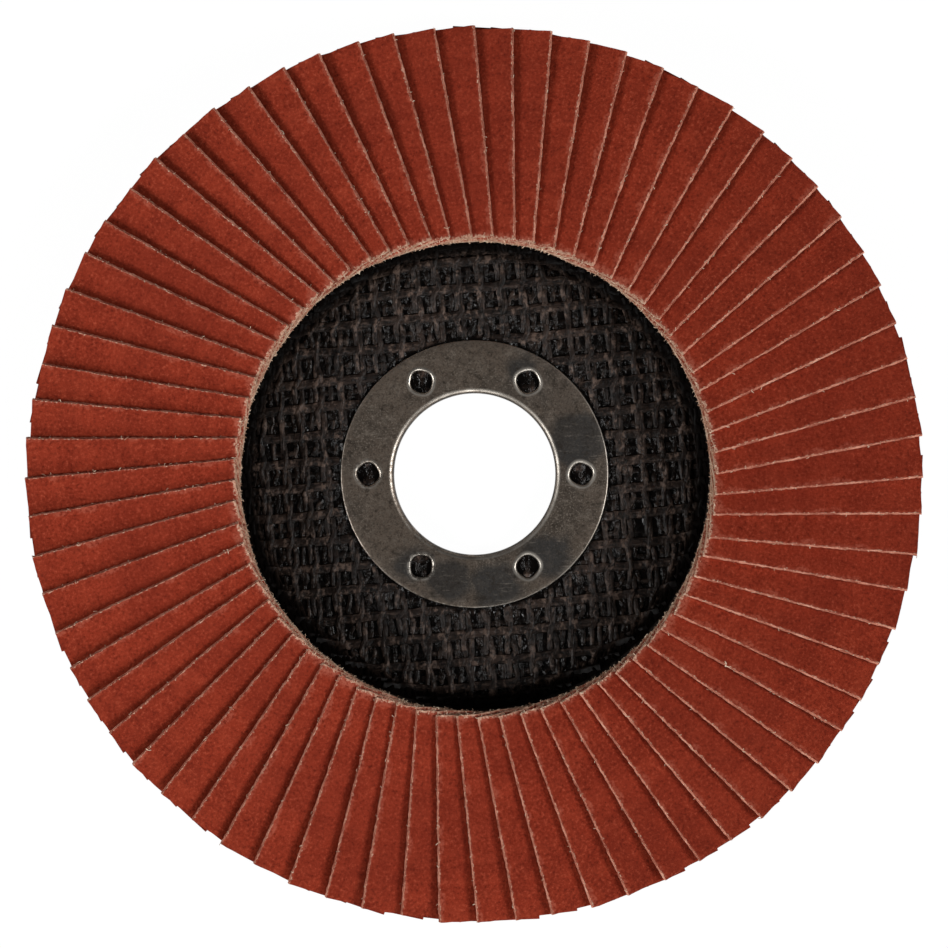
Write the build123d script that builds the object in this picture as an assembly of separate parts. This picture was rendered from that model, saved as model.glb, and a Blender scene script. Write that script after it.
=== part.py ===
from build123d import *
import os
from math import asin, cos, degrees, radians, sin, sqrt, tan

# A flap disc for an angle grinder: rectangles of abrasive cloth glued like shingles round a pressed
# glass-fibre plate with a depressed centre. All sizes are in millimetres.
# The origin is on the bore's axis, at the back face of the hub, and +Z points to the working side.

# Steel ring that lines the bore
bore_diameter = 22.23
ring_diameter = 36.7
ring_sheet = 0.6
ring_bend = 0.15  # inside radius of the bend between flange and collar
ring_edge_break = 0.1
flare_height = 0.6
flare_recess = 0.1  # the flare ends this far above the hub's back face
flare_gap = 0.05  # between the flare and the plate's countersink
punch_count = 6
punch_diameter = 3.0
punch_circle = 29.3
punch_roll = 0.3  # rolled edge of each punched hole

# Backing plate
plate_diameter = 108.0
plate_thickness = 2.6
plate_edge_break = 0.4
well_diameter = 61.2  # where the hub's front would meet the slope with no bend
well_depth = 4.6  # hub's front to flange's front
slope_angle = 58.0
plate_bend = 1.0  # inside radius of both bends

# Glass mesh, the plate's front ply
mesh_base = 0.12
mesh_gap = 0.15  # to the steel ring
warp_pitch = 2.89
warp_width = 0.9
warp_height = 0.33  # above the base
weft_pitch = 3.65
weft_width = 0.7
weft_height = 0.25
mesh_turn = 5.0  # the weave lies askew by this many degrees

# Abrasive flaps
flap_count = 72
flap_width = 14.0
flap_thickness = 0.8
flap_length = 28.45
flap_overhang = 6.49  # past the plate's rim
flap_clearance = 0.02  # between two flaps where they lie closest
raised_edge_offset = 5.67  # centre line to the underside of the raised edge
flap_turn = 0.56  # first flap's centre line, in degrees from +X

# Adhesive
adhesive_base = 0.5  # layer below the flaps' buried edges
adhesive_setback = 0.4  # outside the shoulder's bend
adhesive_margin = 1.0  # inside the plate's rim
tooth_inset = 0.3  # from the base's edges to a tooth's ends
tooth_gap = 0.03  # between a tooth and the buried edge beside it

# Places worked out from the sizes above
bore_radius = bore_diameter / 2
collar_radius = bore_radius + ring_sheet
ring_radius = ring_diameter / 2
hub_hole_radius = collar_radius + ring_bend
flare_mitre = ring_sheet * tan(radians(22.5))
hub_front = plate_thickness
flange_back = well_depth
flange_front = flange_back + plate_thickness
slope = radians(slope_angle)
well_corner = well_diameter / 2
shoulder_corner = well_corner + well_depth / tan(slope)
shoulder_end = shoulder_corner + (plate_bend + plate_thickness) * tan(slope / 2)
pitch = radians(360 / flap_count)
flap_outer_end = plate_diameter / 2 + flap_overhang  # from the axis, along the centre line
flap_inner_end = flap_outer_end - flap_length
adhesive_top = flange_front + adhesive_base
adhesive_inner = shoulder_end + adhesive_setback
adhesive_outer = plate_diameter / 2 - adhesive_margin


def flap_tilt():
    """Angle at which neighbouring flaps, one pitch apart, just clear each other at their inner ends."""
    buried_side = flap_width - raised_edge_offset
    lift = flap_inner_end * sin(pitch) - buried_side * (1 - cos(pitch))
    return asin((flap_thickness + flap_clearance) / lift)


tilt = flap_tilt()
buried_edge = flap_width * cos(tilt) - raised_edge_offset


def dished_line(inner, outer, offset):
    """Radial section line at a height above the plate's front face: hub, slope and flange."""
    shift = offset * tan(slope / 2)
    points = [
        (inner, hub_front + offset),
        (well_corner - shift, hub_front + offset),
        (shoulder_corner - shift, flange_front + offset),
        (outer, flange_front + offset),
    ]
    bends = [plate_bend - offset, plate_bend + plate_thickness + offset]
    return FilletPolyline(*points, radius=bends)


def dished_section(inner, outer, low, high):
    lower = dished_line(inner, outer, low)
    upper = dished_line(inner, outer, high)
    inner_end = Line(lower @ 0, upper @ 0)
    outer_end = Line(lower @ 1, upper @ 1)
    return make_face([lower, outer_end, upper, inner_end])


def turned(section):
    """Solid of revolution about Z from a section drawn with radius as X and height as Y."""
    return revolve(Plane.XZ * section, Axis.Z)


def corner(section, radius, height):
    return section.vertices().sort_by_distance(Vector(radius, height, 0))[0]


def make_centre_ring():
    """One stamping: flange, collar through the plate, and a flare that holds it from the back."""
    top = hub_front + ring_sheet
    flare_top = flare_recess + flare_height
    lip = ring_sheet / sqrt(2)
    section = make_face(
        Polyline(
            (bore_radius + flare_height, flare_recess),
            (bore_radius, flare_top),
            (bore_radius, top),
            (ring_radius, top),
            (ring_radius, hub_front),
            (collar_radius, hub_front),
            (collar_radius, flare_top + flare_mitre),
            (bore_radius + flare_height + lip, flare_recess + lip),
            close=True,
        )
    )
    section = fillet(corner(section, bore_radius, top), ring_bend + ring_sheet)
    section = chamfer(corner(section, collar_radius, hub_front), ring_bend)
    section = chamfer(corner(section, ring_radius, top), ring_edge_break)
    punch_radius = punch_diameter / 2
    rolled_edge = Cone(
        punch_radius,
        punch_radius + 2 * punch_roll,
        2 * punch_roll,
        align=(Align.CENTER, Align.CENTER, Align.CENTER),
    )
    punch = Cylinder(punch_radius, 4 * ring_sheet) + rolled_edge
    return turned(section) - Pos(Z=top) * PolarLocations(punch_circle / 2, punch_count) * punch


def make_backing_plate():
    """Glass fibre in resin, pressed to one thickness, bored and countersunk for the ring's flare."""
    section = dished_section(hub_hole_radius, plate_diameter / 2, -plate_thickness, 0)
    section = chamfer(section.vertices().group_by(Axis.X)[-1], plate_edge_break)
    mouth = collar_radius + flare_recess + flare_height + flare_mitre + flare_gap * sqrt(2)
    countersink = Cone(mouth, 0, mouth, align=(Align.CENTER, Align.CENTER, Align.MIN))
    return turned(section) - countersink


def make_front_mesh():
    """Open weave in resin on the hub's front: a thin base with warp and weft yarns as ridges on it."""
    outer = well_corner - plate_bend * tan(slope / 2)
    field = Circle(outer) - Circle(ring_radius + mesh_gap)
    reach = 2 * outer
    warp_count = int(reach / warp_pitch) + 1
    weft_count = int(reach / weft_pitch) + 1
    warps = Sketch() + GridLocations(warp_pitch, 1, warp_count, 1) * Rectangle(warp_width, reach)
    wefts = Sketch() + GridLocations(1, weft_pitch, 1, weft_count) * Rectangle(reach, weft_width)
    base = extrude(field, mesh_base)
    warp_ridges = extrude(field & (Rot(Z=mesh_turn) * warps), mesh_base + warp_height)
    weft_ridges = extrude(field & (Rot(Z=mesh_turn) * wefts), mesh_base + weft_height)
    return Pos(Z=hub_front) * (base + warp_ridges + weft_ridges)


def flap_place(index):
    """Turn about the disc's axis that takes the first flap, drawn along +X, to its place."""
    return Rot(Z=flap_turn + degrees(pitch) * index)


def make_adhesive_bed():
    """Ring of cured resin on the flange, with a wedge below each flap up to its neighbour."""
    base = Cylinder(adhesive_outer, adhesive_base) - Cylinder(adhesive_inner, adhesive_base)
    base = Pos(Z=flange_front + adhesive_base / 2) * base
    tooth_start = adhesive_inner + tooth_inset
    tooth_end = sqrt((adhesive_outer - tooth_inset) ** 2 - buried_edge**2)
    far_side = buried_edge - adhesive_outer * sin(pitch)
    rise = (buried_edge - far_side) * tan(tilt)
    profile = make_face(Polyline((buried_edge, 0), (far_side, rise), (far_side, 0), close=True))
    wedge = extrude(Plane.YZ * profile, tooth_end - tooth_start)
    wedge = Pos(X=tooth_start, Z=adhesive_top) * wedge
    neighbour_side = buried_edge + flap_thickness * sin(tilt) + tooth_gap
    beyond = Box(
        3 * adhesive_outer,
        adhesive_outer,
        3 * adhesive_top,
        align=(Align.CENTER, Align.MAX, Align.CENTER),
    )
    tooth = wedge - Rot(Z=-degrees(pitch)) * Pos(Y=neighbour_side) * beyond
    return base.fuse(*[flap_place(n) * tooth for n in range(flap_count)])


def make_flap():
    """One rectangle of abrasive cloth, its buried edge on the adhesive and its other edge raised."""
    cloth = Box(flap_length, flap_width, flap_thickness, align=(Align.MIN, Align.MAX, Align.MIN))
    return Pos(flap_inner_end, buried_edge, adhesive_top) * Rot(X=-degrees(tilt)) * cloth


os.makedirs("parts", exist_ok=True)
export_step(make_centre_ring(), "parts/centre_ring.step")
export_step(make_backing_plate(), "parts/backing_plate.step")
export_step(make_front_mesh(), "parts/front_mesh.step")
export_step(make_adhesive_bed(), "parts/adhesive_bed.step")
flap = make_flap()
for pair in range(flap_count // 2):
    flaps = [flap_place(2 * pair) * flap, flap_place(2 * pair + 1) * flap]
    export_step(Compound(children=flaps), f"parts/flap_pair_{pair + 1:02d}.step")
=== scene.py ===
from math import asin, atan2, cos, exp, pi, radians, sin, sqrt, tan

import bmesh
import bpy
from mathutils import Matrix, Vector, noise


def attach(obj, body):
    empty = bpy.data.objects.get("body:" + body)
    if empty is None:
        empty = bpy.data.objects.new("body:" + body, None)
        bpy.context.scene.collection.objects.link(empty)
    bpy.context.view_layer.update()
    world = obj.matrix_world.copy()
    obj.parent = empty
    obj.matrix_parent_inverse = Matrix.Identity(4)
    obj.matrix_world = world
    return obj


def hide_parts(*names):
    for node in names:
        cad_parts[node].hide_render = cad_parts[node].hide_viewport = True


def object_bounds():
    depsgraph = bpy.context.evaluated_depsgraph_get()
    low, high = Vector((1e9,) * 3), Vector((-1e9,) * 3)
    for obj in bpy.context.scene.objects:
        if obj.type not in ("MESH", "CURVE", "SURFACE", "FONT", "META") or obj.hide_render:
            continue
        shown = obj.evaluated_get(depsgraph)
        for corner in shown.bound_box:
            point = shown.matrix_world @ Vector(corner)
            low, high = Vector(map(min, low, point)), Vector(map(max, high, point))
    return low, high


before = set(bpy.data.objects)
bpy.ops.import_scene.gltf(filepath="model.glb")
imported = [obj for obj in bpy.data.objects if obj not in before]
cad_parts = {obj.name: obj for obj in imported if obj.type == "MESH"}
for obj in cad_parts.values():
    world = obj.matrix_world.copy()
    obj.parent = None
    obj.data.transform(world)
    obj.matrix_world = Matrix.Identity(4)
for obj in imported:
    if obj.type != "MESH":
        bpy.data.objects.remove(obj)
cad_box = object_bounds()
scene = bpy.context.scene
mm = 0.001

# ---------------------------------------------------------------------------------------------
# Camera. It looks straight down on the working side from arm's length, a little to one side of
# the bore, with a long lens. Its picture is 948 pixels square.
picture = 948
pixels_per_metre = 7384
flap_top = cad_box[1].z
camera_above_flaps = 0.630
camera_aside = 0.0093
aim = Vector((0.07 * mm, 0.0, flap_top))


def add_object(name, data):
    made = bpy.data.objects.new(name, data)
    scene.collection.objects.link(made)
    return made


camera_data = bpy.data.cameras.new("camera")
camera_data.sensor_width = 36
camera_data.lens = camera_data.sensor_width * pixels_per_metre * camera_above_flaps / picture
camera_data.clip_start = 0.05
camera_data.clip_end = 20
camera = add_object("camera", camera_data)
camera.location = (camera_aside, 0, flap_top + camera_above_flaps)
backwards = (camera.location - aim).normalized()
rightwards = Vector((0, 1, 0)).cross(backwards).normalized()
upwards = backwards.cross(rightwards)
camera.rotation_euler = Matrix((rightwards, upwards, backwards)).transposed().to_euler()
scene.camera = camera

# ---------------------------------------------------------------------------------------------
# Centre ring. One stamping of thin steel: a flange with six punched holes, a collar that lines
# the bore and a flare behind the hub. It is tumbled and left bare, so it is dull, with brown stains,
# fine scratches and bright worn edges. Dark reflections are painted on the flange, highlights along
# the rolled edges, and shade inside the bore.


class Flow:
    """An output socket in a node tree. Arithmetic on it adds Math nodes to that tree."""

    def __init__(self, tree, socket=None):
        self.tree = tree
        self.socket = socket

    def node(self, kind, settings=None, inputs=None, out=0):
        """Adds a node of any type, sets it up, then fills or links its sockets."""
        made = self.tree.nodes.new(kind)
        for name, value in (settings or {}).items():
            if name == "stops":
                self.fill_ramp(made.color_ramp, value)
            else:
                setattr(made, name, value)
        for name, value in (inputs or {}).items():
            if isinstance(value, Flow):
                self.tree.links.new(value.socket, made.inputs[name])
            else:
                made.inputs[name].default_value = value
        return Flow(self.tree, made.outputs[out] if made.outputs else None)

    @staticmethod
    def fill_ramp(ramp, stops):
        while len(ramp.elements) < len(stops):
            ramp.elements.new(1.0)
        for element, (position, color) in zip(ramp.elements, stops):
            element.position = position
            element.color = (*color, 1.0)

    def math(self, operation, first, second=0.0, third=0.0):
        inputs = {0: first, 1: second, 2: third}
        return self.node("ShaderNodeMath", {"operation": operation}, inputs)

    def __add__(self, other):
        return self.math("ADD", self, other)

    def __radd__(self, other):
        return self.math("ADD", other, self)

    def __sub__(self, other):
        return self.math("SUBTRACT", self, other)

    def __rsub__(self, other):
        return self.math("SUBTRACT", other, self)

    def __mul__(self, other):
        return self.math("MULTIPLY", self, other)

    def __rmul__(self, other):
        return self.math("MULTIPLY", other, self)

    def __truediv__(self, other):
        return self.math("DIVIDE", self, other)

    def __pow__(self, other):
        return self.math("POWER", self, other)

    def larger(self, other):
        return self.math("MAXIMUM", self, other)

    def ramp(self, low, high):
        """0 below low, 1 above high, smooth between; low above high turns it round."""
        inputs = {"Value": self, "From Min": low, "From Max": high}
        return self.node("ShaderNodeMapRange", {"interpolation_type": "SMOOTHSTEP"}, inputs)

    def mix(self, first, second):
        """The colour first where this is 0 and second where it is 1."""
        inputs = {0: self, 6: first, 7: second}
        return self.node("ShaderNodeMix", {"data_type": "RGBA"}, inputs, out=2)

    def parts(self):
        split = self.node("ShaderNodeSeparateXYZ", None, {0: self})
        return [Flow(self.tree, output) for output in split.socket.node.outputs]

    def noise(self, vector, scale, detail=3.0, roughness=0.5, out="Fac", **more):
        inputs = {"Vector": vector, "Scale": scale, "Detail": detail, "Roughness": roughness, **more}
        settings = {"noise_dimensions": "4D" if "W" in more else "3D"}
        return self.node("ShaderNodeTexNoise", settings, inputs, out)

    def stretched(self, vector, scale):
        settings = {"operation": "MULTIPLY"}
        return self.node("ShaderNodeVectorMath", settings, {0: vector, 1: scale})

    def bump(self, height, distance, strength):
        inputs = {"Height": height, "Distance": distance, "Strength": strength}
        return self.node("ShaderNodeBump", None, inputs)


def color(red, green, blue):
    return (red, green, blue, 1.0)


def start_material(name):
    material = bpy.data.materials.new(name)
    material.use_nodes = True
    material.node_tree.nodes.clear()
    return material, Flow(material.node_tree)


def end_material(flow, **sockets):
    """Feeds one Principled shader; a socket's name is written with underscores for spaces."""
    inputs = {name.replace("_", " "): value for name, value in sockets.items()}
    shader = flow.node("ShaderNodeBsdfPrincipled", None, inputs)
    flow.node("ShaderNodeOutputMaterial", None, {"Surface": shader})


hub_front = 2.6 * mm
ring_top = 3.2 * mm
ring_radius = 18.42 * mm
bore_radius = 11.115 * mm
collar_radius = 11.715 * mm
bore_bend = 0.75 * mm
rim_break = 0.20 * mm
punch_count = 6
punch_circle = 14.65 * mm
punch_radius = 1.5 * mm
punch_roll = 0.34 * mm
punch_lip = 0.035 * mm
punch_squareness = 0.035
punch_oval = 0.03 * mm
lip_foot = 0.12 * mm
lip_end = 0.30 * mm
rim_shoulder = 0.10 * mm
rim_corner = 0.03 * mm
rim_fall = 0.09 * mm
rim_foot = 0.05 * mm
edge_wobble = 0.012 * mm
collar_start = 0.15 * mm
flare_start = 0.95 * mm
flare_radius = 12.14 * mm
flare_height = 0.524 * mm
flare_foot = 0.1 * mm
foot_outside = 11.79 * mm
foot_inside = 11.69 * mm
bore_bottom = 0.7 * mm
bore_low = 1.2 * mm
bore_high = 1.9 * mm
bore_shadow = 0.7
bend_steps = 10
flat_start = bore_radius + bore_bend
flat_end = ring_radius - rim_break
turn_steps = 48
brown_steel = color(0.335, 0.262, 0.205)
stained_steel = color(0.140, 0.113, 0.091)
dark_reflection_grey = color(0.060, 0.060, 0.060)
dent_shine = color(0.36, 0.30, 0.245)
dent_shade = color(0.050, 0.040, 0.032)
scratch_shine = color(0.46, 0.40, 0.34)
speck_shade = color(0.04, 0.034, 0.028)
spark_shine = color(0.46, 0.39, 0.32)
spark_shade = color(0.045, 0.037, 0.030)
worn_highlight_steel = color(0.66, 0.61, 0.54)
bore_shade = color(0.050, 0.043, 0.036)
mark_outer_fade = 1.0 * mm
mark_inner_fade = 1.2 * mm
pitted_side = (-0.90, -0.43)
pitted_start = 7.0 * mm
pitted_end = 10.0 * mm
# Each painted dark reflection has its place across and along the ring, and its reach.
dark_reflection_marks = (
    (14.2 * mm, 5.0 * mm, 4.6 * mm),
    (9.6 * mm, -11.4 * mm, 3.8 * mm),
    (3.0 * mm, -15.2 * mm, 3.8 * mm),
    (-3.6 * mm, -14.6 * mm, 3.6 * mm),
    (-8.4 * mm, -12.5 * mm, 2.8 * mm),
    (6.4 * mm, 14.6 * mm, 2.2 * mm),
)


def bare_steel():
    """Dull brown steel: dark where it is oxidised, stained or pitted, bright where it is worn; with
    painted dark reflections, painted highlights on the rolled edges and painted shade in the bore.
    """
    material, flow = start_material("ring_steel")
    place = flow.node("ShaderNodeTexCoord", out="Object")
    # The worn attribute is edge wear with a painted highlight above zero, and painted shade below zero.
    worn = flow.node("ShaderNodeAttribute", {"attribute_name": "worn"}, out="Fac")
    stain = flow.noise(place, 120, 5, 0.7).ramp(0.36, 0.64)
    x, y = place.parts()[:2]
    wander = (flow.noise(place, 260, 4, 0.65) - 0.5) * (4.0 * mm)
    # Random oxide, and the painted dark reflections at the listed marks.
    oxide_and_dark_reflections = flow.noise(flow.stretched(place, (1, 1.3, 1)), 48, 4, 0.6, W=2.0).ramp(0.50, 0.66) * 0.4
    for across, along, reach in dark_reflection_marks:
        aside = x - across + wander
        above = (y - along) * 1.2 + wander
        far = (aside * aside + above * above) ** 0.5
        mark = far.ramp(reach + mark_outer_fade, reach - mark_inner_fade)
        oxide_and_dark_reflections = oxide_and_dark_reflections.larger(mark)
    speckle = flow.noise(place, 2300, 3, 0.7)
    sparks = flow.noise(place, 4600, 1, 0.5)
    dents = flow.noise(place, 620, 3, 0.65)
    scratch = flow.noise(flow.stretched(place, (1.0, 9.0, 1)), 330, 3, 0.7).ramp(0.58, 0.70)
    towards_pits = x * pitted_side[0] + y * pitted_side[1]
    pitted = towards_pits.ramp(pitted_start, pitted_end) * speckle.ramp(0.44, 0.56)
    # Worn edges and their painted highlights, dulled where the steel is pitted.
    wear_and_highlight = worn.larger(0.0) * (1.0 - pitted * 0.9)
    tone = stain.mix(brown_steel, stained_steel)
    # Grey where the steel is oxidised and where dark reflections are painted.
    tone = (oxide_and_dark_reflections * 0.85).mix(tone, dark_reflection_grey)
    tone = (dents.ramp(0.52, 0.68) * (0.5 - oxide_and_dark_reflections * 0.42)).mix(tone, dent_shine)
    tone = (dents.ramp(0.46, 0.32) * 0.6).mix(tone, dent_shade)
    tone = (scratch * 0.35).mix(tone, scratch_shine)
    tone = (speckle.ramp(0.52, 0.66) * 0.6).mix(tone, speck_shade)
    tone = (sparks.ramp(0.55, 0.70) * (0.5 - oxide_and_dark_reflections * 0.4)).mix(tone, spark_shine)
    tone = (sparks.ramp(0.42, 0.30) * 0.5).mix(tone, spark_shade)
    tone = (wear_and_highlight * 0.85).mix(tone, worn_highlight_steel)
    tone = worn.ramp(0.0, -1.0).mix(tone, bore_shade)
    rough = 0.40 + stain * 0.12 + oxide_and_dark_reflections * 0.06 - wear_and_highlight * 0.08
    height = speckle * 0.5 + dents
    end_material(
        flow,
        Base_Color=tone,
        Metallic=1.0,
        Roughness=rough,
        Normal=flow.bump(height, 0.035 * mm, 0.8),
    )
    return material


def ring_point(radius, angle, height):
    return (radius * cos(angle), radius * sin(angle), height)


def ring_strips(builder, worn, profile):
    """Turns a section about the axis. Each of its points is a radius, a height and how worn it is;
    above zero that also paints a highlight, and below zero it paints shade.
    """
    count = punch_count * turn_steps
    rows = []
    for radius, height, wear in profile:
        row = []
        for step in range(count):
            angle = 2 * pi * (step - turn_steps / 2) / count
            wobble = noise.noise((6 * cos(angle), 6 * sin(angle), 900 * height))
            uneven = edge_wobble * wobble * max(wear, 0)
            vertex = builder.verts.new(ring_point(radius, angle, height + uneven))
            vertex[worn] = wear * (0.75 + 0.5 * noise.noise((9 * cos(angle), 9 * sin(angle), 2.0)))
            row.append(vertex)
        rows.append(row)
    for low, high in zip(rows, rows[1:]):
        for step in range(count):
            after = (step + 1) % count
            builder.faces.new((low[step], low[after], high[after], high[step]))


def sector_outline(turn):
    """Points round one sixth of the flange, in order, from its inner corner."""
    half = pi / punch_count
    side_steps = 12
    radii = [flat_start + (flat_end - flat_start) * n / side_steps for n in range(side_steps + 1)]
    angles = [turn - half + 2 * half * n / turn_steps for n in range(turn_steps + 1)]
    outline = [(radius, angles[0]) for radius in radii[:-1]]
    outline += [(radii[-1], angle) for angle in angles[:-1]]
    outline += [(radius, angles[-1]) for radius in reversed(radii[1:])]
    outline += [(radii[0], angle) for angle in reversed(angles[1:])]
    return outline


def punched_sector(builder, worn, number):
    """One sixth of the flange round its hole: the face, the rolled edge, the wall and the back."""
    turn = 2 * pi * number / punch_count
    centre = Vector(ring_point(punch_circle, turn, 0))
    square_turn = 0.9 * number + 0.3
    roll_steps = 6
    columns = []
    for radius, angle in sector_outline(turn):
        edge = Vector(ring_point(radius, angle, 0))
        away = (edge - centre).normalized()
        bearing = atan2(away.y, away.x)
        hole = punch_radius * (1 + punch_squareness * cos(4 * (bearing - square_turn)))
        hole += punch_oval * cos(2 * bearing + number)
        places = [(edge, hub_front, 0.0), (centre + away * hole, hub_front, 0.0)]
        # The roll grows more worn towards its crown, where a highlight is painted.
        for step in range(roll_steps + 1):
            lean = 0.5 * pi * step / roll_steps
            out = hole + punch_roll * (1 - cos(lean))
            height = ring_top + punch_lip - punch_roll * (1 - sin(lean))
            places.append((centre + away * out, height, 0.35 + 0.65 * sin(lean)))
        out = hole + punch_roll
        places.append((centre + away * (out + lip_foot), ring_top + 0.4 * punch_lip, 0.45))
        start = centre + away * (out + lip_end)
        for share in (0.0, 0.35, 0.7, 1.0):
            places.append((start.lerp(edge, share), ring_top, 0.0))
        column = []
        for flat, height, wear in places:
            vertex = builder.verts.new((flat.x, flat.y, height))
            vertex[worn] = wear
            column.append(vertex)
        columns.append(column)
    for column, after in zip(columns, columns[1:] + columns[:1]):
        for low in range(len(column) - 1):
            builder.faces.new((column[low], after[low], after[low + 1], column[low + 1]))


def built_object(builder, name):
    """Turns a builder into an object with smooth faces."""
    mesh = bpy.data.meshes.new(name)
    builder.to_mesh(mesh)
    builder.free()
    mesh.shade_smooth()
    return add_object(name, mesh)


def make_ring():
    """The whole ring: six sectors of the flange, its rim, and the bore with its bend and flare."""
    builder = bmesh.new()
    worn = builder.verts.layers.float.new("worn")
    for number in range(punch_count):
        punched_sector(builder, worn, number)
    # The rim's shoulder is worn and carries a painted highlight.
    rim = [
        (flat_end, ring_top, 0.1),
        (ring_radius - rim_shoulder, ring_top - rim_corner, 0.9),
        (ring_radius - rim_corner, ring_top - rim_fall, 1.0),
        (ring_radius, ring_top - rim_break, 0.6),
        (ring_radius, hub_front + rim_foot, 0.2),
        (ring_radius - rim_foot, hub_front, 0.0),
        (flat_end, hub_front, 0.0),
    ]
    ring_strips(builder, worn, rim)
    # Below zero the bore is painted with shade.
    bore = [
        (flat_start, hub_front, 0.0),
        (collar_radius, hub_front - collar_start, 0.0),
        (collar_radius, flare_start, 0.0),
        (flare_radius, flare_height, 0.0),
        (foot_outside, flare_foot, 0.6),
        (foot_inside, flare_foot, 0.6),
        (bore_radius, bore_bottom, -0.4),
        (bore_radius, bore_low, -1.0),
        (bore_radius, bore_high, -1.0),
    ]
    # Down the bend: painted shade on its lower part, a painted highlight across its upper part.
    for step in range(bend_steps + 1):
        lean = 0.5 * pi * step / bend_steps
        radius = flat_start - bore_bend * cos(lean)
        height = ring_top - bore_bend * (1 - sin(lean))
        wear = -1.0
        if lean >= bore_shadow:
            wear = 0.95 * sin(pi * (lean - bore_shadow) / (0.5 * pi - bore_shadow))
        bore.append((radius, height, wear))
    ring_strips(builder, worn, bore)
    bmesh.ops.remove_doubles(builder, verts=builder.verts, dist=0.002 * mm)
    bmesh.ops.recalc_face_normals(builder, faces=builder.faces)
    return built_object(builder, "pressed_ring")


pressed_ring = make_ring()
pressed_ring.data.set_sharp_from_angle(angle=radians(50))
pressed_ring.data.materials.append(bare_steel())
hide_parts("centre_ring")
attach(pressed_ring, "root")

# ---------------------------------------------------------------------------------------------
# Backing plate. Layers of glass cloth in black phenolic resin, hot-pressed between plates that
# leave the cloth's print in its faces. The hub is set back from the flange, which carries the flaps.
plate_bend = 1.0 * mm
well_corner = 30.6 * mm
slope = radians(58)
warp_pitch = 2.89 * mm
weft_pitch = 3.65 * mm
mesh_turn = radians(5)
yarn_bend = 1.2 * mm
pressed_black = color(0.0042, 0.0034, 0.0030)
printed_yarn = color(0.0125, 0.0095, 0.0080)
printed_strand = color(0.034, 0.026, 0.021)


def printed_resin():
    """Black resin with the print of the glass cloth in it, a little greyer along the yarns."""
    material, flow = start_material("plate_resin")
    place = flow.node("ShaderNodeTexCoord", out="Object")
    spin = {"rotation_type": "Z_AXIS"}
    cloth = flow.node("ShaderNodeVectorRotate", spin, {"Vector": place, "Angle": -mesh_turn})
    bend = flow.noise(place, 160, 3, 0.6) * yarn_bend
    x, y = cloth.parts()[:2]
    over_warp = flow.math("COSINE", (x + bend) * (2 * pi / warp_pitch))
    over_weft = flow.math("COSINE", (y + bend) * (2 * pi / weft_pitch))
    yarns = over_warp.ramp(0.35, 0.95).larger(over_weft.ramp(0.45, 0.95))
    strands = flow.noise(cloth, 1900, 3, 0.65)
    lumps = flow.noise(place, 500, 4, 0.6)
    tone = yarns.mix(pressed_black, printed_yarn)
    tone = (strands.ramp(0.50, 0.68) * yarns * 0.7).mix(tone, printed_strand)
    height = yarns + strands * 0.45 + lumps * 0.5
    end_material(
        flow,
        Base_Color=tone,
        Roughness=0.26 + lumps * 0.25 + yarns * 0.1,
        Specular_IOR_Level=0.3,
        Normal=flow.bump(height, 0.16 * mm, 0.9),
    )
    return material


backing_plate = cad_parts["backing_plate"]
backing_plate.data.materials.clear()
backing_plate.data.materials.append(printed_resin())

# ---------------------------------------------------------------------------------------------
# Glass mesh. The plate's front ply is an open leno weave: flat wefts, and pairs of twisted warps
# between them. A second ply shows through its gaps. Resin covers both and pools between the yarns.
mesh_inner = 18.45 * mm
mesh_outer = 33.0 * mm
point_step = 0.3 * mm
weft_drift = 0.4 * mm
weft_wave = 0.04 * mm
press_reach = 0.9 * mm
press_depth = 0.25 * mm
wall_start = 29.8 * mm
wall_blend = (29.6 * mm, 31.0 * mm)
shade_inside = (17.6 * mm, 18.2 * mm)
shade_outside = (19.1 * mm, 18.5 * mm)
hole_margin = 0.06 * mm
warp_draw = 0.62 * mm
weft_draw = 0.60 * mm
film_overlap = 0.4 * mm
film_hole_gap = 0.03 * mm
yarn_foot = hub_front + 0.12 * mm
yarn_crown = hub_front + 0.48 * mm
low_resin_and_shade = color(0.0022, 0.0013, 0.0010)
high_resin = color(0.0155, 0.0100, 0.0078)
hazy_resin = color(0.042, 0.0265, 0.0200)
scuffed_resin = color(0.135, 0.092, 0.072)
sunk_resin = color(0.0030, 0.0020, 0.0016)
bare_fibres = color(0.104, 0.072, 0.057)
resin_pits = color(0.0022, 0.0017, 0.0015)


def dish_place(reach, angle, lift):
    """Point on the plate's front for a cloth laid over it: reach is measured along the dish."""
    corner_arc = slope * plate_bend
    tangent = plate_bend * tan(slope / 2)
    flat_end = well_corner - tangent
    if reach < flat_end:
        radius, height, lean = reach, hub_front, 0.0
    elif reach < flat_end + corner_arc:
        lean = (reach - flat_end) / plate_bend
        radius = flat_end + plate_bend * sin(lean)
        height = hub_front + plate_bend * (1 - cos(lean))
    else:
        up_slope = reach - flat_end - corner_arc
        lean = slope
        radius = well_corner + tangent * cos(slope) + up_slope * cos(slope)
        height = hub_front + tangent * sin(slope) + up_slope * sin(slope)
    radius -= lift * sin(lean)
    height += lift * cos(lean)
    return Vector((radius * cos(angle), radius * sin(angle), height))


def yarn_runs(offset, inner, outer):
    """Stretches of a straight yarn that lie between two circles, as (start, end) along it."""
    far = sqrt(max(outer**2 - offset**2, 0))
    if abs(offset) >= inner:
        return [(-far, far)]
    near = sqrt(inner**2 - offset**2)
    return [(-far, -near), (near, far)]


def hole_runs(offset, along_x):
    """Stretches of a straight yarn that show through the ring's punched holes."""
    seen = punch_radius - hole_margin
    runs = []
    for number in range(punch_count):
        turn = 2 * pi * number / punch_count - mesh_turn
        along, aside = punch_circle * cos(turn), punch_circle * sin(turn)
        if not along_x:
            along, aside = aside, along
        from_centre = abs(offset - aside)
        if from_centre < 0.9 * seen:
            half = sqrt(seen**2 - from_centre**2)
            runs.append((along - half, along + half))
    return runs


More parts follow.
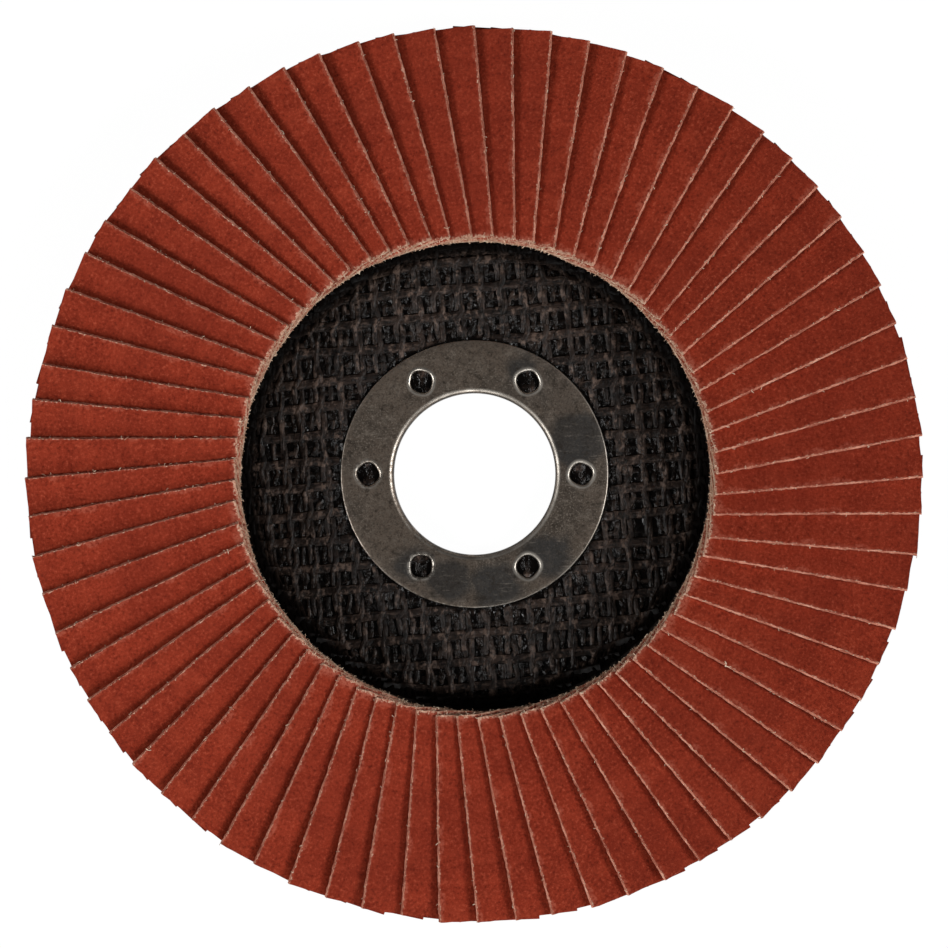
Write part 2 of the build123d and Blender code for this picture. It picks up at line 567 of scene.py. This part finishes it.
def add_yarn(curve, along_x, offset, run, wander, lift):
    """One strand as a poly spline. wander and lift give its sideways and upward places."""
    start, end = run
    count = max(int((end - start) / point_step), 3)
    spline = curve.splines.new("POLY")
    spline.points.add(count - 1)
    for index, point in enumerate(spline.points):
        along = start + (end - start) * index / (count - 1)
        side = offset + wander(along)
        x, y = (along, side) if along_x else (side, along)
        flat = Matrix.Rotation(mesh_turn, 2) @ Vector((x, y))
        angle = Vector((1, 0)).angle_signed(flat) * -1
        by_ring = min(max(1 - (flat.length - ring_radius) / press_reach, 0), 1)
        height = lift(along) - by_ring * press_depth
        point.co = (*dish_place(flat.length, angle, height), 1)


def yarn_curve(name):
    curve = bpy.data.curves.new(name, "CURVE")
    curve.dimensions = "3D"
    return curve


def start_tree(name, inputs):
    """A node tree with named inputs: its flow, the inputs' identifiers and their values inside."""
    tree = bpy.data.node_groups.new(name, "GeometryNodeTree")
    sockets = {}
    for label, kind in inputs.items():
        made = tree.interface.new_socket(label, in_out="INPUT", socket_type="NodeSocket" + kind)
        sockets[label] = made.identifier
    tree.interface.new_socket("Mesh", in_out="OUTPUT", socket_type="NodeSocketGeometry")
    group = tree.nodes.new("NodeGroupInput")
    given = {socket.name: Flow(tree, socket) for socket in group.outputs if socket.name}
    return Flow(tree), sockets, given


def yarn_tubes_tree():
    """Turns curves into flat yarns: a squashed round section that stays level, with uneven edges."""
    inputs = {"Curves": "Geometry", "Width": "Float", "Height": "Float"}
    inputs.update({"Unevenness": "Float", "Seed": "Float", "Material": "Material"})
    flow, sockets, given = start_tree("yarn_tubes", inputs)
    position = flow.node("GeometryNodeInputPosition")
    shake = flow.noise(position, 900, 3, 0.6, out="Color", W=given["Seed"])
    shake = flow.node("ShaderNodeVectorMath", {"operation": "SUBTRACT"}, {0: shake, 1: (0.5, 0.5, 0.5)})
    shake = flow.node(
        "ShaderNodeVectorMath", {"operation": "SCALE"}, {0: shake, "Scale": given["Unevenness"]}
    )
    curves = flow.node("GeometryNodeSetPosition", None, {"Geometry": given["Curves"], "Offset": shake})
    along = flow.node("GeometryNodeSplineParameter", out="Length")
    store = {"data_type": "FLOAT", "domain": "POINT"}
    curves = flow.node(
        "GeometryNodeStoreNamedAttribute", store, {"Geometry": curves, "Name": "along", "Value": along}
    )
    curves = flow.node("GeometryNodeSetCurveNormal", {"mode": "Z_UP"}, {"Curve": curves})
    swell = 0.35 + 1.3 * flow.noise(position, 520, 2, 0.6, W=given["Seed"] + 7.0)
    curves = flow.node("GeometryNodeSetCurveRadius", None, {"Curve": curves, "Radius": swell})
    ring = flow.node("GeometryNodeCurvePrimitiveCircle", None, {"Resolution": 8, "Radius": 0.5})
    around = flow.node("GeometryNodeSplineParameter", out="Factor")
    ring = flow.node(
        "GeometryNodeStoreNamedAttribute", store, {"Geometry": ring, "Name": "around", "Value": around}
    )
    size = flow.node("ShaderNodeCombineXYZ", None, {0: given["Width"], 1: given["Height"], 2: 1.0})
    ring = flow.node("GeometryNodeTransform", None, {"Geometry": ring, "Scale": size})
    inputs = {"Curve": curves, "Profile Curve": ring, "Fill Caps": True}
    mesh = flow.node("GeometryNodeCurveToMesh", None, inputs)
    mesh = flow.node("GeometryNodeRealizeInstances", None, {"Geometry": mesh})
    mesh = flow.node("GeometryNodeSetMaterial", None, {"Geometry": mesh, "Material": given["Material"]})
    flow.tree.links.new(mesh.socket, flow.tree.nodes.new("NodeGroupOutput").inputs[0])
    return flow.tree, sockets


def plain_mesh(name, source, tree, sockets, values):
    """Runs a node tree on an object and keeps the result as a plain mesh in an object at the origin."""
    modifier = source.modifiers.new("build", "NODES")
    modifier.node_group = tree
    for key, value in values.items():
        modifier[sockets[key]] = value
    scene.collection.objects.link(source)
    evaluated = source.evaluated_get(bpy.context.evaluated_depsgraph_get())
    mesh = bpy.data.meshes.new_from_object(evaluated)
    mesh.name = name
    source.modifiers.clear()
    bpy.data.objects.remove(source)
    mesh.shade_smooth()
    return add_object(name, mesh)


def resin_yarn(name, gloss):
    """Brown-black resin over a glass yarn, paler and scuffed on the crowns. Low down it is dark from
    pooled resin and painted shade, with painted shade by the ring too; up the slope it is darker and
    dull.
    """
    material, flow = start_material(name)
    along = flow.node("ShaderNodeAttribute", {"attribute_name": "along"}, out="Fac")
    around = flow.node("ShaderNodeAttribute", {"attribute_name": "around"}, out="Fac")
    place = flow.node("ShaderNodeTexCoord", out="Object")
    x, y, z = place.parts()
    strand = flow.node("ShaderNodeCombineXYZ", None, {0: along * 500.0, 1: around * 9.0})
    fibres = flow.noise(strand, 1.0, 3, 0.6)
    lumps = flow.noise(place, 900, 3, 0.6)
    haze = flow.noise(place, 150, 3, 0.5)
    radius = (x * x + y * y) ** 0.5
    by_ring = radius.ramp(*shade_inside) * radius.ramp(*shade_outside)
    up_wall = radius.ramp(*wall_blend)
    # Low down: pooled black resin with painted shade. By the ring: painted shade. Up the slope: darker.
    high = z.ramp(yarn_foot, yarn_crown) * (1.0 - up_wall) * (1.0 - by_ring)
    pits = flow.noise(place, 1500, 2, 0.7)
    scuffs = flow.noise(flow.stretched(place, (1.4, 0.8, 1)), 640, 3, 0.65)
    tone = high.mix(low_resin_and_shade, high_resin)
    tone = (haze.ramp(0.45, 0.65) * high * 0.6).mix(tone, hazy_resin)
    tone = (scuffs.ramp(0.52, 0.64) * high * 0.85).mix(tone, scuffed_resin)
    tone = (scuffs.ramp(0.46, 0.34) * 0.8).mix(tone, sunk_resin)
    tone = (fibres.ramp(0.52, 0.70) * high * 0.6).mix(tone, bare_fibres)
    tone = (pits.ramp(0.50, 0.36) * 0.85).mix(tone, resin_pits)
    height = fibres * 0.6 + lumps + pits * 0.5 + scuffs * 0.7
    end_material(
        flow,
        Base_Color=tone,
        Roughness=0.10 + high * 0.22 + lumps * 0.2 + up_wall * 0.24,
        Specular_IOR_Level=gloss,
        Normal=flow.bump(height * (1.0 - up_wall * 0.75), 0.24 * mm, 0.9),
    )
    return material


yarn_resin = resin_yarn("mesh_resin", 0.22)
wall_resin = resin_yarn("wall_resin", 0.05)
yarn_tree, yarn_sockets = yarn_tubes_tree()


def swap_sides(turns):
    """-1 or 1 for most of the way between wefts, crossing over quickly at each weft."""
    return max(-1.0, min(1.0, 1.9 * sin(pi * turns)))


def make_ply(name, sizes, level, shift, seed, strays):
    """One ply: wefts along X, and pairs of warps that change places at each weft, one over, one under."""
    wefts = yarn_curve(name + "_wefts")
    warps = yarn_curve(name + "_warps")
    rows = int(mesh_outer / weft_pitch) + 1
    columns = int(mesh_outer / warp_pitch) + 1
    for row in range(-rows, rows + 1):
        offset = (row + shift) * weft_pitch + strays * noise.noise((row * 3.7, seed, 0.5))
        if abs(offset) > mesh_outer:
            continue
        for run in yarn_runs(offset, mesh_inner, mesh_outer) + hole_runs(offset, True):

            def drift(s):
                return weft_drift * noise.noise((s * 90, row * 5.1, seed))

            def rise(s):
                return level + sizes["weft_above"] + weft_wave * cos(2 * pi * s / warp_pitch)

            add_yarn(wefts, True, offset, run, drift, rise)
    for column in range(-columns, columns + 1):
        offset = (column + shift) * warp_pitch + strays * noise.noise((column * 2.9, seed, 4.5))
        if abs(offset) > mesh_outer:
            continue
        for run in yarn_runs(offset, mesh_inner, mesh_outer) + hole_runs(offset, False):
            for side in (-1, 1):

                def drift(s):
                    spread = 0.7 + 1.1 * noise.noise((s * 260, column * 1.7, seed + 9))
                    stray = 0.5 * strays * noise.noise((s * 300, column * 3.3, seed + side))
                    crossed = swap_sides(s / weft_pitch - shift)
                    return side * sizes["apart"] * spread * crossed + stray

                def rise(s):
                    return level + side * sizes["crossing"] * cos(pi * (s / weft_pitch - shift))

                add_yarn(warps, False, offset, run, drift, rise)
    pieces = []
    for curve, part in ((wefts, "weft"), (warps, "warp")):
        source = bpy.data.objects.new(curve.name, curve)
        values = {
            "Width": sizes[part][0],
            "Height": sizes[part][1],
            "Unevenness": sizes["uneven"],
            "Seed": seed,
            "Material": yarn_resin,
        }
        pieces.append(plain_mesh(curve.name, source, yarn_tree, yarn_sockets, values))
    return pieces


front_sizes = {
    "weft": (1.35 * mm, 0.22 * mm),
    "weft_above": 0.06 * mm,
    "warp": (0.80 * mm, 0.28 * mm),
    "apart": 0.42 * mm,
    "crossing": 0.13 * mm,
    "uneven": 0.42 * mm,
}
second_sizes = {
    "weft": (0.9 * mm, 0.20 * mm),
    "weft_above": 0.02 * mm,
    "warp": (0.8 * mm, 0.24 * mm),
    "apart": 0.30 * mm,
    "crossing": 0.05 * mm,
    "uneven": 0.6 * mm,
}
front_ply = make_ply(
    "front_ply", front_sizes, level=0.30 * mm, shift=0.0, seed=1.0, strays=0.30 * mm
)
second_ply = make_ply(
    "second_ply", second_sizes, level=0.12 * mm, shift=0.45, seed=5.0, strays=0.9 * mm
)


def resin_level(x, y):
    """How high the cured resin stands over the dish: lumpy, and drawn up against the yarns."""
    flat = Matrix.Rotation(-mesh_turn, 2) @ Vector((x, y))
    from_warp = abs((flat.x / warp_pitch + 0.5) % 1 - 0.5) * warp_pitch
    from_weft = abs((flat.y / weft_pitch + 0.5) % 1 - 0.5) * weft_pitch
    by_warp = exp(-((from_warp / warp_draw) ** 2))
    by_weft = exp(-((from_weft / weft_draw) ** 2))
    lumps = noise.noise((x * 1300, y * 800, 1.0)) + 0.6 * noise.noise((x * 2600, y * 1500, 5.0))
    lumps *= 0.16 if flat.length < 30 * mm else 0.03
    return (0.07 + lumps + 0.12 * by_warp + 0.14 * by_weft + 0.10 * by_warp * by_weft) * mm


def resin_patch(builder, centre, inner, outer, rings, steps):
    """Lumpy sheet between two circles round a centre, laid over the dish."""
    rows = []
    for ring in range(rings + 1):
        reach = inner + (outer - inner) * ring / rings
        row = []
        for step in range(steps):
            angle = 2 * pi * step / steps
            x = centre[0] + reach * cos(angle)
            y = centre[1] + reach * sin(angle)
            lift = max(resin_level(x, y), 0.01 * mm)
            row.append(builder.verts.new(dish_place(sqrt(x * x + y * y), atan2(y, x), lift)))
        rows.append(row)
    for low, high in zip(rows, rows[1:]):
        for step in range(steps):
            after = (step + 1) % steps
            builder.faces.new((low[step], high[step], high[after], low[after]))


def make_resin_film():
    """The film over the cloth round the ring, and a small patch of it under each punched hole."""
    builder = bmesh.new()
    resin_patch(builder, (0, 0), mesh_inner, mesh_outer + film_overlap, rings=64, steps=700)
    for number in range(punch_count):
        turn = 2 * pi * number / punch_count
        centre = (punch_circle * cos(turn), punch_circle * sin(turn))
        outer = punch_radius - film_hole_gap
        resin_patch(builder, centre, 0.02 * mm, outer, rings=8, steps=30)
    film = built_object(builder, "resin_film")
    film.data.materials.append(yarn_resin)
    return film


resin_film = make_resin_film()
for ply in front_ply + second_ply + [resin_film]:
    ply.data.materials.append(wall_resin)
    for face in ply.data.polygons:
        face.material_index = int(face.center.xy.length > wall_start)
    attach(ply, "root")
for ply in front_ply:
    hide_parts("front_mesh")

# ---------------------------------------------------------------------------------------------
# Adhesive bed. Brown resin spread on the flange, that the flaps' buried edges are set in. It is
# seen only between the flaps, from the rim and from inside the well.
thin_adhesive = color(0.05, 0.025, 0.014)
thick_adhesive = color(0.13, 0.07, 0.04)


def cured_adhesive():
    material, flow = start_material("flap_adhesive")
    place = flow.node("ShaderNodeTexCoord", out="Object")
    lumps = flow.noise(place, 400, 4, 0.6)
    tone = lumps.mix(thin_adhesive, thick_adhesive)
    end_material(flow, Base_Color=tone, Roughness=0.45, Normal=flow.bump(lumps, 0.3 * mm, 0.8))
    return material


adhesive_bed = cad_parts["adhesive_bed"]
adhesive_bed.data.materials.clear()
adhesive_bed.data.materials.append(cured_adhesive())

# ---------------------------------------------------------------------------------------------
# Abrasive flaps. Seventy-two rectangles cut from resin-bonded abrasive cloth, red grit on a tan
# backing. Each lies on the next one, one pitch round, and only the strip by its raised edge shows.
flap_count = 72
flap_width = 14.0 * mm
flap_thickness = 0.8 * mm
flap_inner_end = 32.04 * mm
flap_length = 28.45 * mm
flap_clearance = 0.02 * mm
raised_edge_offset = 5.67 * mm
flap_turn = radians(0.56)
pitch = 2 * pi / flap_count
buried_side = flap_width - raised_edge_offset
flap_lift = flap_inner_end * sin(pitch) - buried_side * (1 - cos(pitch))
flap_tilt = asin((flap_thickness + flap_clearance) / flap_lift)
buried_edge = flap_width * cos(flap_tilt) - raised_edge_offset
bed_height = 7.7 * mm
red_grit = color(0.220, 0.0245, 0.0105)
bright_grit = color(0.285, 0.0335, 0.0140)
grain_tops = color(0.46, 0.085, 0.042)
grain_gaps = color(0.088, 0.010, 0.005)
ripple_tops = color(0.40, 0.060, 0.027)
dark_grit = color(0.17, 0.020, 0.010)
rubbed_grit = color(0.56, 0.19, 0.125)
brown_cloth = color(0.36, 0.15, 0.095)
pale_cloth = color(0.76, 0.50, 0.36)
cloth_between = color(0.27, 0.060, 0.035)
cloth_fibres = color(0.80, 0.325, 0.215)
cloth_layers = color(0.16, 0.040, 0.022)
cloth_frays_and_highlights = color(0.90, 0.60, 0.45)
cut_fibres = color(0.70, 0.56, 0.42)
cut_cloth = color(0.54, 0.39, 0.27)
back_low = color(0.235, 0.098, 0.056)
back_high = color(0.43, 0.225, 0.140)
dark_thread = color(0.44, 0.25, 0.16)
pale_thread = color(0.90, 0.74, 0.56)
thread_spacing = (0.52, 0.44)


def grit_coat():
    """Red grit, in millimetres of the sheet, chipped to the cloth along its inner and raised edges."""
    material, flow = start_material("abrasive_coat")
    place = flow.node("ShaderNodeAttribute", {"attribute_name": "cloth_place"}, out="Vector")
    flap = flow.node("ShaderNodeAttribute", {"attribute_name": "flap"}, out="Fac")
    x, y = place.parts()[:2]
    grains = flow.noise(place, 2.4, 5, 0.72, W=flap)
    ripple = flow.noise(flow.stretched(place, (1.0, 0.22, 1.0)), 0.75, 2, 0.5, W=flap + 9.0)
    blotch = flow.noise(place, 0.3, 3, 0.55, W=flap)
    drift = flow.noise(place, 0.05, 1, 0.5, W=flap * 3.7)
    tone = blotch.ramp(0.3, 0.7).mix(red_grit, bright_grit)
    tone = (grains.ramp(0.50, 0.70) * 0.75).mix(tone, grain_tops)
    tone = (grains.ramp(0.50, 0.32) * 0.75).mix(tone, grain_gaps)
    tone = (ripple.ramp(0.45, 0.7) * 0.22).mix(tone, ripple_tops)
    tone = (drift.ramp(0.4, 0.65) * 0.25).mix(tone, dark_grit)
    chips = flow.noise(place, 2.6, 4, 0.75, W=flap + 3.0)
    inner = (x - chips.ramp(0.35, 0.7) * 0.50).ramp(0.12, -0.12)
    raised = (y - chips.ramp(0.46, 0.74) * 0.24).ramp(0.05, -0.05)
    rubbed = (y - blotch.ramp(0.45, 0.7) * 0.8).ramp(0.35, -0.2) * 0.22
    rubbed = rubbed.larger((x - blotch.ramp(0.4, 0.7) * 0.9).ramp(0.9, -0.3) * 0.38)
    worn = inner.larger(raised)
    tan_cloth = chips.ramp(0.35, 0.7).mix(brown_cloth, pale_cloth)
    tone = (rubbed * grains.ramp(0.36, 0.56)).mix(tone, rubbed_grit)
    tone = (worn * 0.85).mix(tone, tan_cloth)
    end_material(
        flow,
        Base_Color=tone,
        Roughness=0.8,
        Specular_IOR_Level=0.06,
        Normal=flow.bump(grains, 0.16 * mm, 0.8),
    )
    return material


def cloth_backing():
    """The cloth under the grit: frayed layers on the cut edges, with painted highlights on them, and its
    weave underneath.
    """
    material, flow = start_material("cloth_backing")
    place = flow.node("ShaderNodeAttribute", {"attribute_name": "cloth_place"}, out="Vector")
    flap = flow.node("ShaderNodeAttribute", {"attribute_name": "flap"}, out="Fac")
    x, y, z = place.parts()
    fibres = flow.noise(flow.stretched(place, (1, 1, 2)), 4.5, 4, 0.75, W=flap)
    plies = flow.noise(flow.stretched(place, (0.35, 0.35, 5.0)), 1.4, 2, 0.5, W=flap)
    # Pale frayed fibres mixed with painted highlights, in patches along the cut edges.
    fray_highlight_mask = fibres * 1.4 + flow.noise(place, 0.45, 2, 0.6, W=flap + 5.0) * 0.7
    tone = fray_highlight_mask.ramp(0.86, 1.22).mix(cloth_between, cloth_fibres)
    tone = (plies.ramp(0.54, 0.64) * 0.5).mix(tone, cloth_layers)
    # Cream fibres and painted highlights.
    tone = (fray_highlight_mask.ramp(1.12, 1.28) * 0.85).mix(tone, cloth_frays_and_highlights)
    cut_end = x.ramp(0.4, 0.1)
    tone = (cut_end * plies.ramp(0.60, 0.44) * 0.75).mix(tone, cut_fibres)
    tone = (cut_end * 0.4).mix(tone, cut_cloth)
    across = flow.math("SINE", x * (2 * pi / thread_spacing[0]))
    threads = across * flow.math("SINE", y * (2 * pi / thread_spacing[1]))
    finish = flow.noise(place, 0.5, 3, 0.6, W=flap)
    weave = (threads * 0.5 + finish).ramp(0.1, 0.9)
    underside = z.ramp(0.05, 0.01)
    tone = underside.mix(tone, weave.mix(back_low, back_high))
    end_material(
        flow,
        Base_Color=tone,
        Roughness=0.9,
        Specular_IOR_Level=0.15,
        Normal=flow.bump(fibres + threads * underside * 0.4, 0.12 * mm, 0.8),
    )
    return material


# How the flaps are laid, in millimetres of the sheet. The pack lies a little off the bore's centre:
# each flap slides by laying_shift, and inner_share of it moves the inner ends, while the outer ends
# stay true. The raised corner draws back at the inner end, and the free edge sags towards the rim.
in_mm = 1000
laying_shift = 0.46
laying_side = radians(28.8)
inner_share = 0.85
corner_draw = 0.26
outer_reach = 0.07
rim_sag = 0.30
edge_press = 0.06
crowd_inner_end = 1.15
crowd_raised_edge = 2.3
fibre_reach = 0.4 * mm
fibre_radius = 0.055 * mm
fibre_density = 4.0e6
raised_share = 0.17


def loose_fibre(flow):
    """A short bent thread end, three-sided."""
    inputs = {"Start": (-fibre_reach, 0, 0), "Middle": (0, 0.3 * mm, 0.15 * mm)}
    inputs.update({"End": (fibre_reach, 0, 0), "Resolution": 4})
    path = flow.node("GeometryNodeCurveQuadraticBezier", None, inputs)
    inputs = {"Resolution": 3, "Radius": fibre_radius}
    ring = flow.node("GeometryNodeCurvePrimitiveCircle", None, inputs)
    inputs = {"Curve": path, "Profile Curve": ring, "Fill Caps": True}
    return flow.node("GeometryNodeCurveToMesh", None, inputs)


def flap_tree():
    """A run of flaps: one fine-meshed sheet for each, tilted, set in the bed and turned to its place."""
    inputs = {"Base": "Geometry", "First": "Int", "Flaps": "Int", "Seat": "Vector"}
    for name in ("Length", "Width", "Thickness", "Tilt", "Pitch", "Turn", "Seed", "Fibres"):
        inputs[name] = "Float"
    for name in ("Coat", "Cloth", "Thread"):
        inputs[name] = "Material"
    flow, sockets, given = start_tree("flap_run", inputs)

    def vector(x, y, z):
        return flow.node("ShaderNodeCombineXYZ", None, {0: x, 1: y, 2: z})

    def store(geometry, name, value, data_type="FLOAT_VECTOR", domain="POINT"):
        settings = {"data_type": data_type, "domain": domain}
        inputs = {"Geometry": geometry, "Name": name, "Value": value}
        return flow.node("GeometryNodeStoreNamedAttribute", settings, inputs)

    def named(name, data_type="FLOAT_VECTOR"):
        return flow.node("GeometryNodeInputNamedAttribute", {"data_type": data_type}, {"Name": name})

    inputs = {"Size": (1, 1, 1), "Vertices X": 104, "Vertices Y": 11, "Vertices Z": 3}
    sheet = flow.node("GeometryNodeMeshCube", None, inputs)
    x, y, z = flow.node("GeometryNodeInputPosition").parts()
    x = (x + 0.5) ** crowd_inner_end * given["Length"]
    y = (y + 0.5) ** crowd_raised_edge * given["Width"]
    z = (z + 0.5) * given["Thickness"]
    sheet = store(sheet, "cloth_place", flow.stretched(vector(x, y, z), (in_mm, in_mm, in_mm)))
    seats = flow.node("GeometryNodeMeshLine", None, {"Count": given["Flaps"], "Offset": (0, 0, 0)})
    flaps = flow.node("GeometryNodeInstanceOnPoints", None, {"Points": seats, "Instance": sheet})
    index = flow.node("GeometryNodeInputIndex") + given["First"]
    flaps = store(flaps, "flap", index, "FLOAT", "INSTANCE")
    flaps = flow.node("GeometryNodeRealizeInstances", None, {"Geometry": flaps})
    place = named("cloth_place")
    flap = named("flap", "FLOAT")
    x, y, z = place.parts()
    own = flap * 17.31 + given["Seed"]

    def uneven(scale, offset, amount, detail=2.0):
        return (flow.noise(place, scale, detail, 0.5, W=own + offset) - 0.5) * amount

    def drawn(offset, amount):
        """One random number for each flap, in millimetres either way."""
        settings = {"noise_dimensions": "1D"}
        chance = flow.node("ShaderNodeTexWhiteNoise", settings, {"W": own + offset})
        return (chance - 0.5) * (2 * amount)

    length = given["Length"] * in_mm
    by_inner = x.ramp(1.2, 0.0)
    by_outer = (length - x).ramp(1.2, 0.0)
    by_raised = y.ramp(0.9, 0.0)
    out = x / length
    angle = given["Turn"] + given["Pitch"] * flap
    new_x = x + by_inner * (uneven(2.2, 1.0, 0.75, 4.0) - 0.12) + by_outer * uneven(0.8, 2.0, 0.3)
    new_x = new_x + drawn(11.0, 0.12) + out * (drawn(12.0, 0.16) + outer_reach)
    aside = flow.math("SINE", angle - laying_side) * (-laying_shift * inner_share)
    new_x = new_x + (1.0 - out) * (aside + y.ramp(7.0, 2.0) * corner_draw)
    new_y = y + by_raised * (uneven(1.3, 3.0, 0.34) + uneven(3.4, 5.0, 0.22))
    new_y = new_y + drawn(13.0, 0.16) + out * drawn(14.0, 0.22)
    new_y = new_y - flow.math("COSINE", angle - laying_side) * laying_shift
    sag = out * y.ramp(9.0, 0.0) * rim_sag
    new_z = z + out * uneven(0.12, 4.0, 0.9, 1.0) - by_raised * edge_press - sag
    local = vector(new_x, new_y - given["Width"] * in_mm, new_z)
    local = flow.stretched(local, (mm, mm, mm))
    spin = {"rotation_type": "X_AXIS"}
    local = flow.node("ShaderNodeVectorRotate", spin, {"Vector": local, "Angle": given["Tilt"] * -1.0})
    local = flow.node("ShaderNodeVectorMath", {"operation": "ADD"}, {0: local, 1: given["Seat"]})
    spin = {"rotation_type": "Z_AXIS"}
    local = flow.node("ShaderNodeVectorRotate", spin, {"Vector": local, "Angle": angle})
    flaps = flow.node("GeometryNodeSetPosition", None, {"Geometry": flaps, "Position": local})
    flaps = flow.node("GeometryNodeSetMaterial", None, {"Geometry": flaps, "Material": given["Cloth"]})
    coated = flow.math("GREATER_THAN", z, given["Thickness"] * (0.999 * in_mm))
    inputs = {"Geometry": flaps, "Selection": coated, "Material": given["Coat"]}
    flaps = flow.node("GeometryNodeSetMaterial", None, inputs)
    by_cut = flow.math("LESS_THAN", x, 0.05) + flow.math("LESS_THAN", y, 0.05) * raised_share
    inputs = {"Mesh": flaps, "Density": by_cut * given["Fibres"]}
    inputs["Seed"] = given["First"] + given["Seed"]
    tufts = flow.node("GeometryNodeDistributePointsOnFaces", None, inputs)
    inputs = {0: (-pi, -pi, -pi), 1: (pi, pi, pi)}
    turn = flow.node("FunctionNodeRandomValue", {"data_type": "FLOAT_VECTOR"}, inputs)
    grown = flow.node("FunctionNodeRandomValue", {"data_type": "FLOAT"}, {2: 0.35, 3: 1.0}, out=1)
    inputs = {"Points": tufts, "Instance": loose_fibre(flow), "Rotation": turn, "Scale": grown}
    tufts = flow.node("GeometryNodeInstanceOnPoints", None, inputs)
    tufts = flow.node("GeometryNodeRealizeInstances", None, {"Geometry": tufts})
    tufts = flow.node("GeometryNodeSetMaterial", None, {"Geometry": tufts, "Material": given["Thread"]})
    links = flow.tree.links
    joined = flow.tree.nodes.new("GeometryNodeJoinGeometry")
    links.new(flaps.socket, joined.inputs[0])
    links.new(tufts.socket, joined.inputs[0])
    links.new(joined.outputs[0], flow.tree.nodes.new("NodeGroupOutput").inputs[0])
    return flow.tree, sockets


def thread_ends():
    material, flow = start_material("thread_ends")
    place = flow.node("ShaderNodeTexCoord", out="Object")
    tint = flow.noise(place, 900, 2, 0.6)
    tone = tint.ramp(0.38, 0.62).mix(dark_thread, pale_thread)
    end_material(flow, Base_Color=tone, Roughness=0.85, Specular_IOR_Level=0.2)
    return material


coat = grit_coat()
cloth = cloth_backing()
thread = thread_ends()
flap_run, flap_sockets = flap_tree()
flaps_in_node = 2
for number in range(flap_count // flaps_in_node):
    node_name = f"flap_pair_{number + 1:02d}"
    values = {
        "First": number * flaps_in_node,
        "Flaps": flaps_in_node,
        "Length": flap_length,
        "Width": flap_width,
        "Thickness": flap_thickness,
        "Tilt": flap_tilt,
        "Pitch": pitch,
        "Turn": flap_turn,
        "Seat": (flap_inner_end, buried_edge, bed_height),
        "Seed": 2.0,
        "Fibres": fibre_density,
        "Coat": coat,
        "Cloth": cloth,
        "Thread": thread,
    }
    source = bpy.data.objects.new("flap_source", bpy.data.meshes.new("flap_source"))
    flap_pair = plain_mesh("cloth_" + node_name, source, flap_run, flap_sockets, values)
    flap_pair.data.set_sharp_from_angle(angle=radians(40))
    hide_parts(node_name)
    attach(flap_pair, "root")

# ---------------------------------------------------------------------------------------------
# Studio. A white floor, a dim even sky, and three soft boxes: one on the left, one on the right,
# both a little above half a metre up and towards the front, and a wider one in front.
floor_half = 6.0
floor_level = -0.02 * mm
floor_glow = 1.03
glow_share = 0.95
sky_strength = 0.045


def pale_floor():
    material, flow = start_material("floor")
    rays = flow.node("ShaderNodeLightPath")
    outputs = {socket.name: Flow(flow.tree, socket) for socket in rays.socket.node.outputs}
    seen = outputs["Is Camera Ray"].larger(outputs["Is Glossy Ray"])
    seen = seen.larger(outputs["Is Transmission Ray"])
    matte = flow.node("ShaderNodeBsdfDiffuse", None, {"Color": color(0.9, 0.9, 0.9)})
    glow = flow.node("ShaderNodeEmission", None, {"Color": color(1, 1, 1), "Strength": floor_glow})
    white = flow.node("ShaderNodeMixShader", None, {0: glow_share, 1: matte, 2: glow})
    shader = flow.node("ShaderNodeMixShader", None, {0: seen, 1: matte, 2: white})
    flow.node("ShaderNodeOutputMaterial", None, {"Surface": shader})
    return material


floor_mesh = bpy.data.meshes.new("floor")
sides = ((-1, -1), (1, -1), (1, 1), (-1, 1))
corners = [(floor_half * across, floor_half * along, floor_level) for across, along in sides]
floor_mesh.from_pydata(corners, [], [(0, 1, 2, 3)])
floor_mesh.materials.append(pale_floor())
floor = add_object("floor", floor_mesh)

world = bpy.data.worlds.new("sky")
world.use_nodes = True
world.node_tree.nodes.clear()
sky = Flow(world.node_tree)
even_light = {"Color": color(1, 1, 1), "Strength": sky_strength}
background = sky.node("ShaderNodeBackground", None, even_light)
sky.node("ShaderNodeOutputWorld", None, {"Surface": background})
scene.world = world


def soft_box(name, place, size, watts):
    """A square lamp that looks at the middle of the disc."""
    data = bpy.data.lights.new(name, "AREA")
    data.shape = "SQUARE"
    data.size = size
    data.energy = watts
    lamp = add_object(name, data)
    lamp.location = place
    lamp.rotation_euler = (-Vector(place)).to_track_quat("-Z", "Y").to_euler()


soft_box("left_box", place=(-0.90, -0.27, 0.67), size=0.36, watts=7.1)
soft_box("right_box", place=(0.91, -0.10, 0.72), size=0.36, watts=7.4)
soft_box("front_box", place=(0.10, -1.12, 0.50), size=0.80, watts=7.6)

scene.view_settings.view_transform = "Standard"
